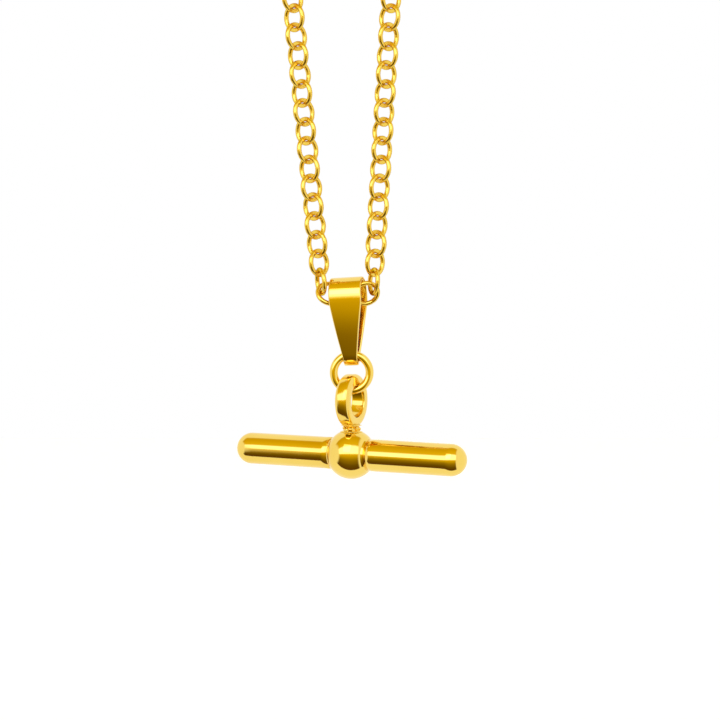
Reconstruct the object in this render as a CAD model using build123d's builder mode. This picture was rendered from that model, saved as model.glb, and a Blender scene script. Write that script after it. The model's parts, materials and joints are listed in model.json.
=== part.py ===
"""A polished T-bar pendant on a fine round-link neck chain, closed by a trigger clasp.

The frame has +Z up and its origin where the closed clasp is hung up. The two strands hang
down in the XZ plane, the bail rides on the three links between them, and the T-bar hangs
from the bail by one round ring. Millimetres and degrees throughout.
"""

import os
from math import acos, cos, radians, sin, sqrt, tan

from build123d import *

os.makedirs("parts", exist_ok=True)

# Chain: round links of wire, each turned about the strand so that neighbours cross
wire_d = 0.60
link_inner_d = 2.40
link_turn = 47.0
last_turns = (47.0, 50.0, 72.0)  # the last links of a strand twist towards the bail
links_per_strand = 16
level_drop = 2.3375

# Strands: where each first link hangs, and how far each strand leans inwards
top_pivot_z = -4.24
left_top_x, left_lean = -7.50, 5.69
right_top_x, right_lean = 4.90, -3.43

# Links between the strands, inside the bail
outer_reach = 2.03
middle_reach = 2.63
centre_turns = (38.5, 94.0, -32.5)

# Rings that join the strands to the clasp
end_ring_d = 3.60
end_wire_d = 0.70
play = 0.04

# Bail: a tapered strip bent into a loop, turned and leaning with the chain
strip = 0.45
bail_top_r = 2.35
bail_bottom_r = 1.10
bail_height = 7.62
bail_top_width = 4.10
bail_bottom_width = 1.85
bail_straight = 6.90
bail_top_z = -39.95
pendant_x = -0.08
bail_yaw = 11.0
bail_lean = 3.2
foot_play = 0.22

# Jump ring
jump_ring_d = 5.50
jump_wire_d = 1.02

# T-bar: two rods spigoted into a ball, with a hoop soldered on top of the ball
bar_yaw = 27.0
bar_tilt = 0.6
bar_slip = 0.3  # the left rod is longer than half the bar by this much, the right one shorter
bar_d = 4.00
spigot_d = 3.00
bar_length = 32.0
ball_d = 6.25
hoop_yaw = 24.0
hoop_d = 6.75
hoop_hole_d = 4.10
hoop_width = 1.90
hoop_edge_r = 0.50
hoop_play = 0.24
neck_d = 1.80
ball_drop = 6.72

# Trigger clasp, lying across the top
plate_t = 1.20
belly_t = 2.50
eye_hole_r = 0.75
eye_r = 1.60
belly_r = 2.50
belly_x = -1.50
belly_edge_r = 0.45
throat_x = 0.50
hook_r = 2.60
hook_hole_r = 1.60
hook_slot = 2.90
gate_w = 0.85
gate_slot = 1.50
gate_slot_floor = -1.05
gate_pivot = (-1.00, 1.10)
gate_tip = (3.75, 1.35)
gate_tip_r = 0.45
gate_hub_r = 0.80
thumb = (-0.55, 3.10)
thumb_r = 0.55
pin_r = 0.35
coil_wire_d = 0.16
coil_turns = 3
coil_pitch = 0.144


def save(piece, name):
    """Label a finished piece and write its file."""
    piece.label = name
    export_step(piece, f"parts/{name}.step")


def ring_plane(centre, along, turn):
    """The plane of a ring that reaches along a direction in XZ, turned about that direction."""
    across = Vector(-along.Z, 0, along.X)
    side = across * cos(radians(turn)) + Vector(0, 1, 0) * sin(radians(turn))
    return Plane(origin=centre, x_dir=along, z_dir=along.cross(side))


def toward(start, end):
    """The unit vector from one point to another."""
    return (end - start).normalized()


# Strand links, hung level by level so that both strands pivot at the same heights
link_r = (link_inner_d + wire_d) / 2
turns = [link_turn] * (links_per_strand - len(last_turns)) + list(last_turns)
last_sign = -1
strand_pivots = {}
rings = {}
for side, top_x, lean in (("left", left_top_x, left_lean), ("right", right_top_x, right_lean)):
    pivots = [
        Vector(top_x + n * level_drop * tan(radians(lean)), 0, top_pivot_z - n * level_drop)
        for n in range(links_per_strand + 1)
    ]
    strand_pivots[side] = pivots
    for n in range(links_per_strand):
        along = toward(pivots[n], pivots[n + 1])
        sign = last_sign * (-1) ** (links_per_strand - 1 - n)
        centre = (pivots[n] + pivots[n + 1]) * 0.5
        rings[f"{side}_link_{n + 1:02d}"] = ring_plane(centre, along, sign * turns[n])

# The three centre links make a shallow bow from one strand to the other
left_end = strand_pivots["left"][-1]
right_end = strand_pivots["right"][-1]
span = right_end.X - left_end.X
bow = acos((span - middle_reach) / (2 * outer_reach))
bow_left = left_end + Vector(outer_reach * cos(bow), 0, -outer_reach * sin(bow))
bow_right = right_end + Vector(-outer_reach * cos(bow), 0, -outer_reach * sin(bow))
corners = (left_end, bow_left, bow_right, right_end)
for name, start, end, turn in zip(
    ("centre_link_left", "centre_link_middle", "centre_link_right"),
    corners[:-1],
    corners[1:],
    centre_turns,
):
    rings[name] = ring_plane((start + end) * 0.5, toward(start, end), turn)

for name, plane in rings.items():
    with BuildPart(plane) as link:
        Torus(link_r, wire_d / 2)
    save(link.part, name)

# End rings: each passes through the top link of a strand and hangs in the clasp
end_r = (end_ring_d - end_wire_d) / 2
eye_play = end_r - sqrt(end_r**2 - (plate_t / 2) ** 2) + 2 * play
link_slack = (2 * link_r - level_drop - wire_d) / 2
end_ring_z = top_pivot_z + end_r - (end_wire_d + wire_d + play) / 2 + link_slack
for name, x in (("clasp_ring", left_top_x), ("end_ring", right_top_x)):
    with BuildPart(Plane.YZ.offset(x) * Pos(0, end_ring_z)) as ring:
        Torus(end_r, end_wire_d / 2)
    save(ring.part, name)

# Bail: a loop of strip in its own leaning plane, cut to a tapered front
jump_r = (jump_ring_d - jump_wire_d) / 2
bail_up = Vector(0, 0, 1).rotate(Axis.Y, -bail_lean).rotate(Axis.Z, -bail_yaw)
bail_depth = Vector(0, 1, 0).rotate(Axis.Z, -bail_yaw)
bail_across = bail_depth.cross(bail_up)
bail_foot = Vector(pendant_x, 0, bail_top_z - bail_top_r - bail_height * cos(radians(bail_lean)))
bail_side = Plane(origin=bail_foot, x_dir=bail_depth, z_dir=bail_across)
bail_face = Plane(origin=bail_foot, x_dir=bail_across, z_dir=-bail_depth)
flare = bail_height + bail_top_r + strip
with BuildPart() as bail:
    with BuildSketch(bail_side):
        for inset, mode in ((0, Mode.ADD), (strip, Mode.SUBTRACT)):
            with BuildSketch(mode=mode):
                with Locations((0, bail_height)):
                    Circle(bail_top_r - inset)
                Circle(bail_bottom_r - inset)
                make_hull()
    extrude(amount=bail_top_width / 2, both=True)
    with BuildSketch(bail_face):
        with BuildLine():
            Polyline(
                (-bail_bottom_width / 2, -bail_bottom_r - strip),
                (bail_bottom_width / 2, -bail_bottom_r - strip),
                (bail_bottom_width / 2, 0),
                (bail_top_width / 2, bail_straight),
                (bail_top_width / 2, flare),
                (-bail_top_width / 2, flare),
                (-bail_top_width / 2, bail_straight),
                (-bail_bottom_width / 2, 0),
                close=True,
            )
        make_face()
    extrude(amount=bail_top_r + strip, both=True, mode=Mode.INTERSECT)
save(bail.part, "bail")

# Jump ring, facing front, its top in the foot of the bail
half_foot = bail_bottom_width / 2
ring_sag = jump_r - sqrt(jump_r**2 - half_foot**2)
foot_rise = jump_wire_d / 2 + ring_sag + foot_play - (bail_bottom_r - strip)
jump_centre = bail_foot + Vector(0, 0, foot_rise - jump_r)
with BuildPart(Plane(origin=jump_centre, x_dir=(1, 0, 0), z_dir=(0, -1, 0))) as jump_ring:
    Torus(jump_r, jump_wire_d / 2)
save(jump_ring.part, "jump_ring")

# T-bar pieces share one turned plane through the ball's centre
ring_floor = jump_centre - Vector(0, 0, jump_r - jump_wire_d / 2)
hoop_centre = ring_floor + Vector(0, 0, hoop_play - hoop_hole_d / 2)
ball_centre = hoop_centre - Vector(0, 0, ball_drop)
bar_axis = Vector(1, 0, 0).rotate(Axis.Y, bar_tilt).rotate(Axis.Z, -bar_yaw)
bar_side = Vector(sin(radians(bar_yaw)), cos(radians(bar_yaw)), 0)
hoop_axis = Vector(1, 0, 0).rotate(Axis.Z, -hoop_yaw)
hoop_wall = (hoop_d - hoop_hole_d) / 2

# Round rods with domed ends, each with a spigot that reaches the ball's middle
seat = sqrt((ball_d / 2) ** 2 - (bar_d / 2) ** 2)
for name, way, slip in (("t_bar_right", 1, -bar_slip), ("t_bar_left", -1, bar_slip)):
    dome = bar_length / 2 + slip - bar_d / 2
    with BuildPart() as rod:
        with BuildSketch(Plane(origin=ball_centre, x_dir=bar_axis * way, z_dir=-bar_side)):
            with Locations((dome, 0)):
                Circle(bar_d / 2)
            with Locations(((seat + dome) / 2, 0)):
                Rectangle(dome - seat, bar_d)
            with Locations((seat / 2, 0)):
                Rectangle(seat, spigot_d)
            with Locations((bar_length / 2, -bar_d)):
                Rectangle(bar_length + bar_d, 2 * bar_d, mode=Mode.SUBTRACT)
        revolve(axis=Axis(ball_centre, bar_axis))
    save(rod.part, name)

# Ball, bored for the spigots and faced for the rods
with BuildPart(Plane(origin=ball_centre, x_dir=bar_side, z_dir=bar_axis)) as ball:
    Sphere(ball_d / 2)
    Cylinder(spigot_d / 2, 2 * ball_d, mode=Mode.SUBTRACT)
    with Locations((0, 0, seat + bar_d / 2), (0, 0, -seat - bar_d / 2)):
        Cylinder(bar_d / 2, bar_d, mode=Mode.SUBTRACT)
save(ball.part, "ball")

# Hoop: a band of rounded section on a short solder neck, cut to sit on the ball
with BuildPart() as hoop:
    with BuildSketch(Plane(origin=hoop_centre, x_dir=hoop_axis, z_dir=hoop_axis.cross(Vector(0, 0, 1)))):
        with Locations((0, (hoop_d - hoop_wall) / 2)):
            RectangleRounded(hoop_width, hoop_wall, hoop_edge_r)
    revolve(axis=Axis(hoop_centre, hoop_axis))
    with BuildSketch(Plane(origin=ball_centre)):
        Circle(neck_d / 2)
    extrude(amount=ball_drop - hoop_hole_d / 2 - hoop_wall / 2)
    with Locations(ball_centre):
        Sphere(ball_d / 2, mode=Mode.SUBTRACT)
save(hoop.part, "hoop")

# Clasp body: a claw with a tail eye, a hook and a slot for the gate
eye = (left_top_x, end_ring_z + end_r + eye_hole_r - end_wire_d / 2 - eye_play)
hook = (right_top_x, end_ring_z + end_r + hook_hole_r - end_wire_d / 2 - eye_play)
with BuildPart() as clasp_body:
    with BuildSketch(Plane.XZ):
        with Locations(eye):
            Circle(eye_r)
        with Locations((belly_x, 0)):
            Circle(belly_r)
        with Locations(hook):
            Circle(hook_r)
        make_hull()
        with Locations(eye):
            Circle(eye_hole_r, mode=Mode.SUBTRACT)
        with Locations((hook[0] - hook_slot / 2, hook[1])):
            SlotCenterToCenter(hook_slot, 2 * hook_hole_r, mode=Mode.SUBTRACT)
        with Locations(((throat_x + hook[0]) / 2 - gate_tip_r, hook[1] + belly_r)):
            Rectangle(hook[0] - throat_x, 2 * belly_r, mode=Mode.SUBTRACT)
    extrude(amount=plate_t / 2, both=True)
    with BuildSketch(Plane.XZ):
        with Locations((belly_x, 0)):
            Circle(belly_r)
    extrude(amount=belly_t / 2, both=True)
    for rim in (0, -1):
        fillet(clasp_body.edges().filter_by(GeomType.CIRCLE).group_by(Axis.Y)[rim], belly_edge_r)
    with BuildSketch(Plane.XZ):
        with Locations((gate_pivot[0], gate_slot_floor + belly_r)):
            Rectangle(2 * belly_r, 2 * belly_r)
    extrude(amount=gate_slot / 2, both=True, mode=Mode.SUBTRACT)
    with BuildSketch(Plane.XZ):
        with Locations(gate_pivot):
            Circle(pin_r)
    extrude(amount=belly_t, both=True, mode=Mode.SUBTRACT)
save(clasp_body.part, "clasp_body")

# Gate with its thumb tab, in the front part of the slot
gate_back = Plane.XZ.offset(gate_slot / 2 - play)
with BuildPart() as gate:
    with BuildSketch(gate_back):
        with BuildSketch():
            with Locations(gate_pivot):
                Circle(gate_hub_r)
            with Locations(gate_tip):
                Circle(gate_tip_r)
            make_hull()
        with BuildSketch():
            with Locations(gate_pivot):
                Circle(gate_hub_r)
            with Locations(thumb):
                Circle(thumb_r)
            make_hull()
        with Locations(gate_pivot):
            Circle(pin_r + play, mode=Mode.SUBTRACT)
    extrude(amount=-gate_w)
save(gate.part, "clasp_gate")

# Pin across the cheeks, and the small coil beside the gate that closes it
with BuildPart() as pin:
    with BuildSketch(Plane.XZ):
        with Locations(gate_pivot):
            Circle(pin_r)
    extrude(amount=belly_t / 2, both=True)
save(pin.part, "clasp_pin")

coil_r = pin_r + play + coil_wire_d / 2
with BuildPart() as coil:
    for turn in range(coil_turns):
        coil_y = gate_slot / 2 - play - coil_wire_d / 2 - turn * coil_pitch
        with Locations(Location((gate_pivot[0], coil_y, gate_pivot[1]), (90, 0, 0))):
            Torus(coil_r, coil_wire_d / 2)
save(coil.part, "clasp_spring")
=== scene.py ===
import json
from math import asin, atan2, cos, pi, radians, sin, sqrt

import bmesh
import bpy
import numpy as np
from mathutils import Matrix, Vector, noise


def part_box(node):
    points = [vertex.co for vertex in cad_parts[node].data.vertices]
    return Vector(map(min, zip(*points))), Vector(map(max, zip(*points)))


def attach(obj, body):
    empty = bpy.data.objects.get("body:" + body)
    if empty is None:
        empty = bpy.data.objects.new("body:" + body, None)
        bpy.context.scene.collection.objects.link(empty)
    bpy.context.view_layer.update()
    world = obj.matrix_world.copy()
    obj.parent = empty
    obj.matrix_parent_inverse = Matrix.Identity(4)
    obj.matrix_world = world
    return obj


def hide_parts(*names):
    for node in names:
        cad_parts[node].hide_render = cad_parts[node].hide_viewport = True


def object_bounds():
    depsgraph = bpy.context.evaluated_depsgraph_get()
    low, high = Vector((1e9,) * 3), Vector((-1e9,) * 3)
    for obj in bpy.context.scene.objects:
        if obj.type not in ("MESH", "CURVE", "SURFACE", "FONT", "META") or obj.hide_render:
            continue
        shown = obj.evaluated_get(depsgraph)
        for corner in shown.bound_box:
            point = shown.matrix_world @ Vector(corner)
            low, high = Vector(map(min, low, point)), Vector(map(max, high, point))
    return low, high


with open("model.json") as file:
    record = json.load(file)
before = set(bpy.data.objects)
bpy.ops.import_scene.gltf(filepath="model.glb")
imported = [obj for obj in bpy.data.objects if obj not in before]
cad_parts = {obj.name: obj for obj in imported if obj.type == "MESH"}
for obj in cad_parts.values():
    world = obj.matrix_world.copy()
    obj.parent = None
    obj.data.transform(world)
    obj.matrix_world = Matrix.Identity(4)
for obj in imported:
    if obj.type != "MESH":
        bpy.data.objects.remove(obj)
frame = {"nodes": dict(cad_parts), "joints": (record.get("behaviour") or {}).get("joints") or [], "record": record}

cad_box = [list(corner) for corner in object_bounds()]
nodes = frame["nodes"]
mounts = {mount["name"]: mount for mount in frame["record"]["mounts"]}


# T-bar rods
# Two turned brass rods with domed ends, each soldered by a spigot into one side of the ball.
# They are buffed to a mirror and gold plated, which leaves only hairlines and faint smears.

class Ink:
    """A shader socket that can be used in sums."""

    def __init__(self, tree, socket=None):
        self.tree, self.socket = tree, socket

    def node(self, kind, settings=None, **inputs):
        """Add a node, set it up, then link or fill its sockets, and return its first output."""
        made = self.tree.nodes.new(kind)
        for name, value in (settings or {}).items():
            if name == "stops":
                ramp = made.color_ramp.elements
                while len(ramp) < len(value):
                    ramp.new(0.5)
                for stop, (place, colour) in zip(ramp, value):
                    stop.position, stop.color = place, colour
            else:
                setattr(made, name, value)
        for name, value in inputs.items():
            key = int(name[1:]) if name[0] == "i" and name[1:].isdigit() else name.replace("_", " ")
            socket = made.inputs[key]
            if isinstance(value, Ink):
                self.tree.links.new(value.socket, socket)
            else:
                socket.default_value = value
        return Ink(self.tree, made.outputs[0])

    def sum(self, operation, a, b):
        return self.node("ShaderNodeMath", {"operation": operation}, i0=a, i1=b)

    def __add__(self, other):
        return self.sum("ADD", self, other)

    __radd__ = __add__

    def __mul__(self, other):
        return self.sum("MULTIPLY", self, other)

    __rmul__ = __mul__

    def __sub__(self, other):
        return self.sum("SUBTRACT", self, other)

    def __rsub__(self, other):
        return self.sum("SUBTRACT", other, self)

    def between(self, low, high):
        """Zero below low, one above high, smooth in between."""
        return self.node(
            "ShaderNodeMapRange", {"interpolation_type": "SMOOTHSTEP"},
            Value=self, From_Min=low, From_Max=high,
        )


def metal_finish(name, rough, dent, dent_size, hairline, tone=(0.95, 0.68, 0.15, 1.0)):
    """Polished metal, gold plated unless a tone is given: smears, hairlines, soft dents, deeper low spots.

    dent and hairline are depths in millimetres, and dent_size is the width of a dent in millimetres.
    """
    finish = bpy.data.materials.new(name)
    finish.use_nodes = True
    tree = finish.node_tree
    shader = tree.nodes["Principled BSDF"]
    ink = Ink(tree)
    place = ink.node("ShaderNodeTexCoord")
    place.socket = place.socket.node.outputs["Object"]
    smears = ink.node("ShaderNodeTexNoise", Vector=place, Scale=420.0, Detail=3.0, Roughness=0.6)
    grain = ink.node("ShaderNodeTexNoise", Vector=place, Scale=5200.0, Detail=2.0, Roughness=0.5)
    swells = ink.node(
        "ShaderNodeTexNoise", Vector=place, Scale=1000.0 / dent_size, Detail=2.0, Roughness=0.45,
    )
    turned = ink.node("ShaderNodeMapping", Vector=place, Rotation=(0.4, 0.9, 0.3), Scale=(1.0, 14.0, 14.0))
    lines = ink.node("ShaderNodeTexNoise", Vector=turned, Scale=1500.0, Detail=2.0, Roughness=0.7)
    scratch = lines.between(0.60, 0.72)
    low = 1 - swells.between(0.30, 0.60)
    gloss = rough + 0.05 * smears.between(0.45, 0.75) + 0.05 * scratch + 0.04 * grain * low
    tree.links.new(gloss.socket, shader.inputs["Roughness"])
    deep = tuple(part * share for part, share in zip(tone, (0.92, 0.84, 0.60, 1.0)))
    rubbed = tuple(min(1.0, part * share) for part, share in zip(tone, (1.03, 1.06, 1.25, 1.0)))
    colour = ink.node(
        "ShaderNodeMix", {"data_type": "RGBA"},
        i0=low * 0.35 + scratch * 0.1, i6=tone, i7=deep,
    )
    colour.socket = colour.socket.node.outputs[2]
    colour = ink.node(
        "ShaderNodeMix", {"data_type": "RGBA"},
        i0=smears.between(0.58, 0.80) * 0.4, i6=colour, i7=rubbed,
    )
    colour.socket = colour.socket.node.outputs[2]
    tree.links.new(colour.socket, shader.inputs["Base Color"])
    relief = dent * swells + hairline * scratch * -1 + 0.15 * hairline * grain
    bump = ink.node("ShaderNodeBump", Height=relief, Distance=0.001)
    tree.links.new(bump.socket, shader.inputs["Normal"])
    shader.inputs["Metallic"].default_value = 1.0
    return finish


def finish_piece(name, mesh, material, node, body, smooth=True):
    """Turn a bmesh into a piece that stands for a CAD node and rides on its body."""
    bmesh.ops.remove_doubles(mesh, verts=mesh.verts, dist=2e-6)
    bmesh.ops.recalc_face_normals(mesh, faces=mesh.faces)
    data = bpy.data.meshes.new(name)
    mesh.to_mesh(data)
    mesh.free()
    data.materials.append(material)
    for polygon in data.polygons:
        polygon.use_smooth = smooth
    piece = bpy.data.objects.new(name, data)
    bpy.context.scene.collection.objects.link(piece)
    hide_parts(node)
    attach(piece, body)
    return piece


def outline(mesh, points):
    """A chain of edges through the points."""
    verts = [mesh.verts.new(point) for point in points]
    return verts + [mesh.edges.new(pair) for pair in zip(verts, verts[1:])]


def turn_round(mesh, profile, steps):
    """Spin a profile once about the Z axis into a closed skin."""
    bmesh.ops.spin(
        mesh, geom=profile, cent=(0, 0, 0), axis=(0, 0, 1),
        angle=2 * pi, steps=steps, use_merge=True,
    )


def stand(centre, axis, up=(0, 0, 1)):
    """The placing that carries the local Z axis onto a direction, with local X as near up as it can be."""
    z = Vector(axis).normalized()
    x = (Vector(up) - z * z.dot(Vector(up))).normalized()
    turn = Matrix((x, z.cross(x), z)).transposed().to_4x4()
    return Matrix.Translation(centre) @ turn


def middle(node):
    """The middle of a CAD node's box."""
    low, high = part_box(node)
    return (Vector(low) + Vector(high)) / 2


bar_r = 0.0020
ball_r = 0.003125
ball_at = middle("ball")
seat = sqrt(ball_r**2 - bar_r**2)
spigot_r = 0.7 * bar_r
spigot_end = 0.3 * seat
wall_steps = 12
dome_steps = 14
mirror_gold = metal_finish("mirror_gold", rough=0.045, dent=0.004, dent_size=9.0, hairline=0.0006)

for name, mount in (("t_bar_right", "bar_right"), ("t_bar_left", "bar_left")):
    rod_axis = Vector(mounts[mount]["axis"]).normalized()
    straight = mounts[mount]["dims"]["length_mm"] / 1000
    rod = bmesh.new()
    profile = [(0, 0, spigot_end), (spigot_r, 0, spigot_end), (spigot_r, 0, seat), (bar_r, 0, seat)]
    profile += [(bar_r, 0, seat + straight * n / wall_steps) for n in range(1, wall_steps)]
    dome = [pi / 2 * n / dome_steps for n in range(dome_steps + 1)]
    profile += [(bar_r * cos(angle), 0, seat + straight + bar_r * sin(angle)) for angle in dome]
    turn_round(rod, outline(rod, profile), steps=72)
    bmesh.ops.transform(rod, matrix=stand(ball_at, rod_axis), verts=rod.verts)
    finish_piece(f"{name}_rod", rod, mirror_gold, name, "t_bar")


# Ball
# A ball that is bored and faced on both sides for the rods. Buffing has rounded the edges
# of the seats, so a fine dark line runs round each rod where it meets the ball.

lip = 0.00009
lip_rise = 2.2 * lip
lip_round = 0.3 * lip
ball_steps = 30
seat_angle = asin(bar_r / ball_r)
ball = bmesh.new()
arc = [seat_angle + (pi / 2 - seat_angle) * n / ball_steps for n in range(ball_steps + 1)]
upper = [(bar_r - lip, 0, seat + lip_rise), (bar_r + lip_round, 0, seat + lip_rise / 2)]
upper += [(ball_r * sin(angle), 0, ball_r * cos(angle)) for angle in arc[1:]]
turn_round(ball, outline(ball, upper + [(x, y, -z) for x, y, z in reversed(upper[:-1])]), steps=96)
bmesh.ops.holes_fill(ball, edges=[edge for edge in ball.edges if edge.is_boundary], sides=0)
bmesh.ops.transform(ball, matrix=stand(ball_at, rod_axis), verts=ball.verts)
finish_piece("ball_bored", ball, mirror_gold, "ball", "t_bar")


# Hoop
# A broad band with rounded edges that the jump ring runs through. It stands on a short
# neck, run with solder, so small beads sit round the joint on top of the ball.

hoop_r = 0.003375
hoop_hole_r = 0.00205
hoop_half_width = 0.00095
hoop_edge_r = 0.00050
hoop_bore_edge_r = 0.00022
hoop_puff = 0.00012
hoop_yaw = radians(-24.0)
hoop_axis = Vector((cos(hoop_yaw), sin(hoop_yaw), 0))
hoop_at = Vector((ball_at.x, ball_at.y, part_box("hoop")[1][2] - hoop_r))
corner_steps = 10
neck_r = 0.00088
neck_foot_r = 1.5 * neck_r
neck_flare = (
    (1.62, 0.0), (1.36, 0.10), (1.12, 0.26), (0.98, 0.42),
    (0.94, 0.55), (1.02, 0.70), (1.25, 0.86), (1.55, 1.0),
)
beads = 9
bead_r = 0.00017
bead_growth = 0.00008
bead_ring_r = 1.12 * neck_r
bead_rise = 0.00034
bead_wander = 0.00016
solder_grain = 0.00002

hoop = bmesh.new()
wall = (hoop_r - hoop_hole_r) / 2
section = []
for quarter, (over, along) in enumerate(((1, 1), (-1, 1), (-1, -1), (1, -1))):
    edge_r = hoop_edge_r if over > 0 else hoop_bore_edge_r
    for n in range(corner_steps + 1):
        angle = pi / 2 * (quarter + n / corner_steps)
        section.append((
            hoop_r - wall + over * (wall - edge_r) + edge_r * cos(angle), 0,
            along * (hoop_half_width - edge_r) + edge_r * sin(angle),
        ))
for n, (out, _, along) in enumerate(section):
    puff = hoop_puff * (1 - (along / hoop_half_width) ** 2)
    section[n] = (out - hoop_puff + puff if out > hoop_r - wall else out, 0, along)
section_line = outline(hoop, section)
section_line.append(hoop.edges.new((section_line[len(section) - 1], section_line[0])))
turn_round(hoop, section_line, steps=96)
bmesh.ops.transform(hoop, matrix=stand(hoop_at, hoop_axis), verts=hoop.verts)

neck = bmesh.new()
neck_top = hoop_at.z - hoop_r + 0.45 * wall
neck_foot = ball_at.z + sqrt(ball_r**2 - neck_foot_r**2)
flare = [(neck_r * wide, 0, neck_foot + (neck_top - neck_foot) * high) for wide, high in neck_flare]
turn_round(neck, outline(neck, flare), steps=48)
bmesh.ops.holes_fill(neck, edges=[edge for edge in neck.edges if edge.is_boundary], sides=0)
bmesh.ops.translate(neck, vec=(ball_at.x, ball_at.y, 0), verts=neck.verts)
for n in range(beads):
    angle = 2 * pi * n / beads + 0.35 * sin(3.1 * n)
    size = bead_r + bead_growth * (0.5 + 0.5 * sin(2.3 * n))
    bead_at = ball_at + Vector((bead_ring_r * cos(angle), bead_ring_r * sin(angle), 0))
    bead_at.z = neck_foot + bead_rise + bead_wander * sin(1.7 * n)
    bmesh.ops.create_icosphere(neck, subdivisions=3, radius=size, matrix=Matrix.Translation(bead_at))
for vert in neck.verts:
    vert.co += vert.normal * solder_grain * noise.noise(vert.co * 3000)
joined = bpy.data.meshes.new("neck")
neck.to_mesh(joined)
neck.free()
hoop.from_mesh(joined)
hoop_gold = metal_finish("hoop_gold", rough=0.06, dent=0.010, dent_size=3.0, hairline=0.0010)
finish_piece("hoop_band", hoop, hoop_gold, "hoop", "t_bar")


# Jump ring
# Round wire bent to a plain ring and closed by a butt joint, which shows as a fine step.

seam_depth = 0.11
seam_share = 0.9


def wire_ring(name, node, body, material, ring_r, wire_r, steps, sides, seam_at, rough_wire):
    """A closed ring of slightly uneven round wire with a butt joint, laid where the CAD ring lies."""
    points = np.array([vertex.co for vertex in nodes[node].data.vertices])
    centre = Vector(points.mean(axis=0))
    normal = Vector(np.linalg.svd(points - points.mean(axis=0), full_matrices=False)[2][2])
    if normal.y > 0:
        normal = -normal
    ring = bmesh.new()
    bmesh.ops.create_circle(
        ring, segments=sides, radius=wire_r,
        matrix=Matrix.Translation((ring_r, 0, 0)) @ Matrix.Rotation(pi / 2, 4, "X"),
    )
    turn_round(ring, ring.verts[:] + ring.edges[:], steps)
    for vert in ring.verts:
        core = Vector((vert.co.x, vert.co.y, 0)).normalized() * ring_r
        away = (atan2(vert.co.y, vert.co.x) - seam_at + pi) % (2 * pi) - pi
        pinch = 1 - seam_depth * max(0.0, 1 - abs(away) / (seam_share * 2 * pi / steps))
        uneven = 1 + rough_wire * noise.noise(vert.co * 900 + centre * 5000)
        vert.co = core + (vert.co - core) * pinch * uneven
    bmesh.ops.transform(ring, matrix=stand(centre, normal), verts=ring.verts)
    return finish_piece(name, ring, material, node, body)


wire_ring("jump_ring_wire", "jump_ring", "jump_ring", mirror_gold,
          ring_r=0.00224, wire_r=0.00051, steps=96, sides=28, seam_at=2.5, rough_wire=0.0)


# Bail
# A strip sawn to a taper, bent round to a loop and soldered at the foot. Its front and back
# swell a little, the foot is pinched, and its long edges are buffed to a bright rim.

strip = 0.00045
bail_top_r = 0.00235
bail_foot_r = 0.00110
bail_height = 0.00762
bail_top_half = 0.00205
bail_foot_half = 0.000925
bail_straight = 0.00690
bail_yaw = radians(-11.0)
bail_lean = radians(-3.2)
swell = 0.00032
foot_point = 1.45
rim = 0.00017
foot_steps = 16
crown_steps = 40
side_steps = 16

bail_up = Vector((sin(bail_lean), 0, cos(bail_lean)))
bail_up.rotate(Matrix.Rotation(bail_yaw, 3, "Z"))
bail_back = Matrix.Rotation(bail_yaw, 3, "Z") @ Vector((0, 1, 0))
bail_across = bail_back.cross(bail_up)
bail_crown = Vector(next(joint for joint in frame["joints"] if joint["name"] == "bail_swing")["pos_m"])
bail_foot = bail_crown - bail_up * bail_height
slope = asin((bail_top_r - bail_foot_r) / bail_height)


def bail_loop(inset):
    """The loop seen from the side, once round from the front of the foot."""
    arcs = []
    for radius, height, first, sweep, steps in (
        (bail_foot_r, 0, pi + slope, pi - 2 * slope, foot_steps),
        (bail_top_r, bail_height, -slope, pi + 2 * slope, crown_steps),
    ):
        angles = [first + sweep * n / steps for n in range(steps + 1)]
        bend = radius - inset
        arcs.append([(bend * cos(angle), height + bend * sin(angle)) for angle in angles])
    loop = []
    for arc, other in (arcs, arcs[::-1]):
        (y, z), (end_y, end_z) = arc[-1], other[0]
        shares = [n / side_steps for n in range(1, side_steps)]
        loop += arc + [(y + (end_y - y) * share, z + (end_z - z) * share) for share in shares]
    return loop


bail = bmesh.new()
outer, inner = (
    [[bail.verts.new((y, z, across)) for y, z in bail_loop(inset)] for across in (-1, 1)]
    for inset in (0, strip)
)
around = len(outer[0])
corners = (outer[0], outer[1], inner[1], inner[0])
for n in range(around):
    after = (n + 1) % around
    for line, beside in zip(corners, corners[1:] + corners[:1]):
        bail.faces.new((line[n], line[after], beside[after], beside[n]))
rims = [bail.edges.get((line[n], line[(n + 1) % around])) for line in outer + inner for n in range(around)]
for vert in bail.verts:
    share = min(1.0, max(0.0, vert.co.y / bail_straight))
    half_width = bail_foot_half + (bail_top_half - bail_foot_half) * share
    vert.co.z *= half_width
bmesh.ops.recalc_face_normals(bail, faces=bail.faces)
bmesh.ops.bevel(
    bail, geom=rims, offset=rim, segments=5, profile=0.5, affect="EDGES",
    clamp_overlap=True, material=-1,
)
for vert in bail.verts:
    along = min(1.0, max(0.0, vert.co.y / bail_height))
    vert.co.x += swell * sin(pi * along) * (1 if vert.co.x > 0 else -1)
    if vert.co.y < 0:
        spot = Vector((vert.co.x, vert.co.y))
        out = spot.normalized()
        pinched = bail_foot_r * (abs(out.x) ** foot_point + abs(out.y) ** foot_point) ** (-1 / foot_point)
        vert.co.x, vert.co.y = out * (spot.length - bail_foot_r + pinched)
side = Matrix((bail_back, bail_up, bail_across)).transposed().to_4x4()
bmesh.ops.transform(bail, matrix=Matrix.Translation(bail_foot) @ side, verts=bail.verts)
bail_gold = metal_finish("bail_gold", rough=0.055, dent=0.006, dent_size=5.0, hairline=0.0008)
finish_piece("bail_strip", bail, bail_gold, "bail", "bail")


# Chain
# Round links of drawn wire, each closed on the next by machine and flash plated. The wire is
# a little uneven, every link has its butt joint, and the links are less bright than the bar.

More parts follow.
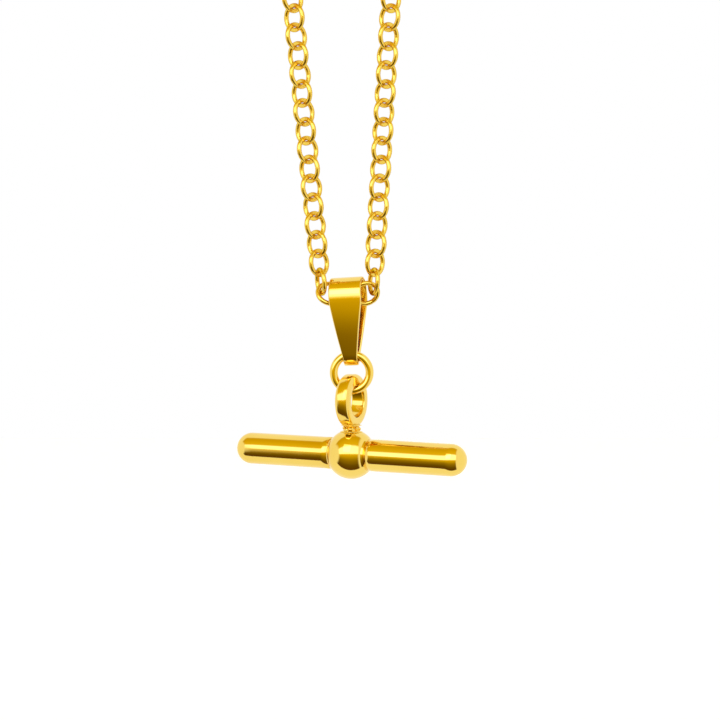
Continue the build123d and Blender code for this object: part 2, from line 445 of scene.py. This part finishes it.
link_r = 0.00150
link_wire_r = 0.00029
seam_turn = 1.9
link_gold = metal_finish(
    "link_gold", rough=0.17, dent=0.050, dent_size=0.55, hairline=0.0040, tone=(0.94, 0.66, 0.11, 1.0),
)
link_shader = link_gold.node_tree.nodes["Principled BSDF"]
link_shader.inputs["Specular Tint"].default_value = (0.45, 0.25, 0.05, 1.0)
link_names = sorted(name for name in nodes if "_link_" in name)
for turn, name in enumerate(link_names):
    body = "centre_links" if name.startswith("centre") else name
    wire_ring(f"{name}_wire", name, body, link_gold,
              ring_r=link_r, wire_r=link_wire_r, steps=56, sides=18,
              seam_at=(seam_turn * turn) % (2 * pi), rough_wire=0.02)


# End rings
# Two stouter wire rings, one through each end of the chain. One stays in the clasp's eye.

end_ring_r = 0.00145
end_wire_r = 0.000345
for name in ("clasp_ring", "end_ring"):
    wire_ring(f"{name}_wire", name, name, link_gold,
              ring_r=end_ring_r, wire_r=end_wire_r, steps=64, sides=20, seam_at=0.6, rough_wire=0.0)


# Clasp
# A cast claw, its gate and the gate's pin. Tumbling has rounded every edge a little, so the
# three are the plain shapes with their sharp edges eased, and softer in gloss than the bar.

ease = 0.00011
flat_angle = radians(2)
sharp_angle = radians(50)
shade_angle = radians(24)
cast_gold = metal_finish("cast_gold", rough=0.12, dent=0.020, dent_size=2.2, hairline=0.0015)
for name, body, eased in (
    ("clasp_body", "clasp", ease), ("clasp_gate", "clasp_gate", ease), ("clasp_pin", "clasp", 0.5 * ease),
):
    cast = bmesh.new()
    cast.from_mesh(nodes[name].data)
    bmesh.ops.remove_doubles(cast, verts=cast.verts, dist=2e-6)
    bmesh.ops.dissolve_limit(cast, angle_limit=flat_angle, verts=cast.verts, edges=cast.edges)
    inside = [edge for edge in cast.edges if len(edge.link_faces) == 2]
    bmesh.ops.bevel(
        cast, geom=[edge for edge in inside if edge.calc_face_angle() > sharp_angle], offset=eased,
        segments=3, profile=0.5, affect="EDGES", clamp_overlap=True, material=-1,
    )
    bmesh.ops.triangulate(cast, faces=cast.faces)
    piece = finish_piece(f"{name}_cast", cast, cast_gold, name, body)
    piece.data.set_sharp_from_angle(angle=shade_angle)
    for polygon in piece.data.polygons:
        polygon.use_smooth = abs(polygon.normal.y) < 0.999


# Closing coil
# A few close turns of hard drawn steel wire beside the gate, on the pin. It is left bare,
# because it sits inside the clasp.

coil_wire_r = 0.00008
coil_pitch = 2.05 * coil_wire_r
coil_steel = metal_finish(
    "coil_steel", rough=0.25, dent=0.004, dent_size=0.6, hairline=0.001, tone=(0.56, 0.56, 0.58, 1.0),
)
coil_low, coil_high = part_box("clasp_spring")
coil_at = middle("clasp_spring")
coil_r = (coil_high[0] - coil_low[0]) / 2 - coil_wire_r
coil_long = coil_high[1] - coil_low[1] - 2 * coil_wire_r
coil_turns = coil_long / coil_pitch
coil = bmesh.new()
bmesh.ops.create_circle(
    coil, segments=12, radius=coil_wire_r,
    matrix=Matrix.Translation((coil_r, 0, 0)) @ Matrix.Rotation(pi / 2, 4, "X"),
)
coil_steps = int(40 * coil_turns)
bmesh.ops.spin(
    coil, geom=coil.verts[:] + coil.edges[:], cent=(0, 0, 0), axis=(0, 0, 1),
    dvec=(0, 0, coil_long / coil_steps), angle=2 * pi * coil_turns, steps=coil_steps,
)
bmesh.ops.holes_fill(coil, edges=[edge for edge in coil.edges if edge.is_boundary], sides=0)
bmesh.ops.translate(coil, vec=(0, 0, -coil_long / 2), verts=coil.verts)
bmesh.ops.transform(coil, matrix=stand(coil_at, (0, 1, 0)), verts=coil.verts)
finish_piece("closing_coil", coil, coil_steel, "clasp_spring", "clasp")


# Floor
# A pale matt board of painted wood, laid flat well below the hanging bar. It glows faintly, so
# that it blends with the white room, and the polished metal does not show it.

floor_drop = 0.075
floor_reach = 0.9
floor_glow = 0.25
board = bmesh.new()
bmesh.ops.create_grid(board, x_segments=1, y_segments=1, size=floor_reach)
bmesh.ops.translate(board, vec=(0, 0, cad_box[0][2] - floor_drop), verts=board.verts)
floor_mesh = bpy.data.meshes.new("floor")
board.to_mesh(floor_mesh)
board.free()
floor = bpy.data.objects.new("floor", floor_mesh)
floor.visible_glossy = False
bpy.context.scene.collection.objects.link(floor)
pale = bpy.data.materials.new("pale_board")
pale.use_nodes = True
pale_shader = pale.node_tree.nodes["Principled BSDF"]
pale_shader.inputs["Base Color"].default_value = (0.95, 0.95, 0.95, 1.0)
pale_shader.inputs["Roughness"].default_value = 0.9
pale_shader.inputs["Emission Color"].default_value = (1.0, 1.0, 1.0, 1.0)
pale_shader.inputs["Emission Strength"].default_value = floor_glow
floor_mesh.materials.append(pale)


# Studio
# A white room with one toned panel in front, from the floor to past overhead. The panel is a
# bright strip a little above level, warm gold above it, and ever darker brown below, which
# gives polished gold its bands. A small soft lamp stands in front, up and to the left.

studio = bpy.data.worlds.new("studio")
bpy.context.scene.world = studio
studio.use_nodes = True
tree = studio.node_tree
tree.nodes.clear()
ink = Ink(tree)
look = ink.node("ShaderNodeTexCoord")
look.socket = look.socket.node.outputs["Generated"]
parts = ink.node("ShaderNodeSeparateXYZ", Vector=look)
right, away, up = (Ink(tree, parts.socket.node.outputs[n]) for n in range(3))
pitch = ink.node("ShaderNodeMath", {"operation": "ARCTAN2"}, i0=up, i1=0 - away) * (180 / pi)
wall_bands = (
    (-180, (1.0, 1.0, 1.0)), (-76, (1.0, 1.0, 1.0)), (-74.5, (0.11, 0.045, 0.0)), (-60, (0.12, 0.07, 0.0)),
    (-48, (0.15, 0.095, 0.0)), (-40, (0.21, 0.14, 0.0)), (-29, (0.27, 0.185, 0.0)), (-20, (0.37, 0.26, 0.0)),
    (-14, (0.47, 0.335, 0.0)), (-7, (0.62, 0.44, 0.0)), (-1, (0.72, 0.51, 0.0)), (5, (0.95, 0.76, 0.05)),
    (9, (1.5, 1.75, 2.2)), (40, (1.5, 1.75, 2.2)), (50, (0.84, 0.62, 0.02)), (90, (0.66, 0.45, 0.0)),
    (101, (0.66, 0.48, 0.03)), (106, (1.0, 1.0, 1.0)), (180, (1.0, 1.0, 1.0)),
)
brightest = 2.2
white = (1 / brightest, 1 / brightest, 1 / brightest, 1)
stops = [
    ((angle + 180) / 360, (*(part / brightest for part in colour), 1)) for angle, colour in wall_bands
]
bands = ink.node("ShaderNodeValToRGB", {"stops": stops}, Fac=(pitch + 180) * (1 / 360))
panel = right.between(-0.90, -0.80) * (1 - right.between(0.46, 0.58))
room = ink.node("ShaderNodeMix", {"data_type": "RGBA"}, i0=panel, i6=white, i7=bands)
room.socket = room.socket.node.outputs[2]
lit = ink.node("ShaderNodeBackground", Color=room, Strength=brightest)
plain = ink.node("ShaderNodeBackground", Color=(1, 1, 1, 1), Strength=1.0)
seen = ink.node("ShaderNodeLightPath")
both = ink.node("ShaderNodeMixShader", i0=seen, i1=lit, i2=plain)
output = tree.nodes.new("ShaderNodeOutputWorld")
tree.links.new(both.socket, output.inputs["Surface"])
bpy.context.scene.view_settings.view_transform = "Standard"

softbox = bpy.data.lights.new("softbox", "AREA")
softbox.energy = 0.35
softbox.size = 0.35
softbox_stand = bpy.data.objects.new("softbox", softbox)
softbox_stand.location = (-0.20, -0.45, 0.25)
softbox_aim = Vector((0, 0, -0.035)) - softbox_stand.location
softbox_stand.rotation_euler = softbox_aim.to_track_quat("-Z", "Y").to_euler()
bpy.context.scene.collection.objects.link(softbox_stand)


# Camera
# A long lens a quarter of a metre in front of the piece, a little above the bail, and tipped
# a little down at the bar.

camera_tip = radians(2.82)
lens = bpy.data.cameras.new("camera")
lens.lens = 100.0
lens.sensor_width = 36.0
lens.clip_start = 0.01
camera = bpy.data.objects.new("camera", lens)
camera.location = (0.0010, -0.250, -0.038)
camera.rotation_euler = (pi / 2 - camera_tip, 0, 0)
bpy.context.scene.collection.objects.link(camera)
bpy.context.scene.camera = camera
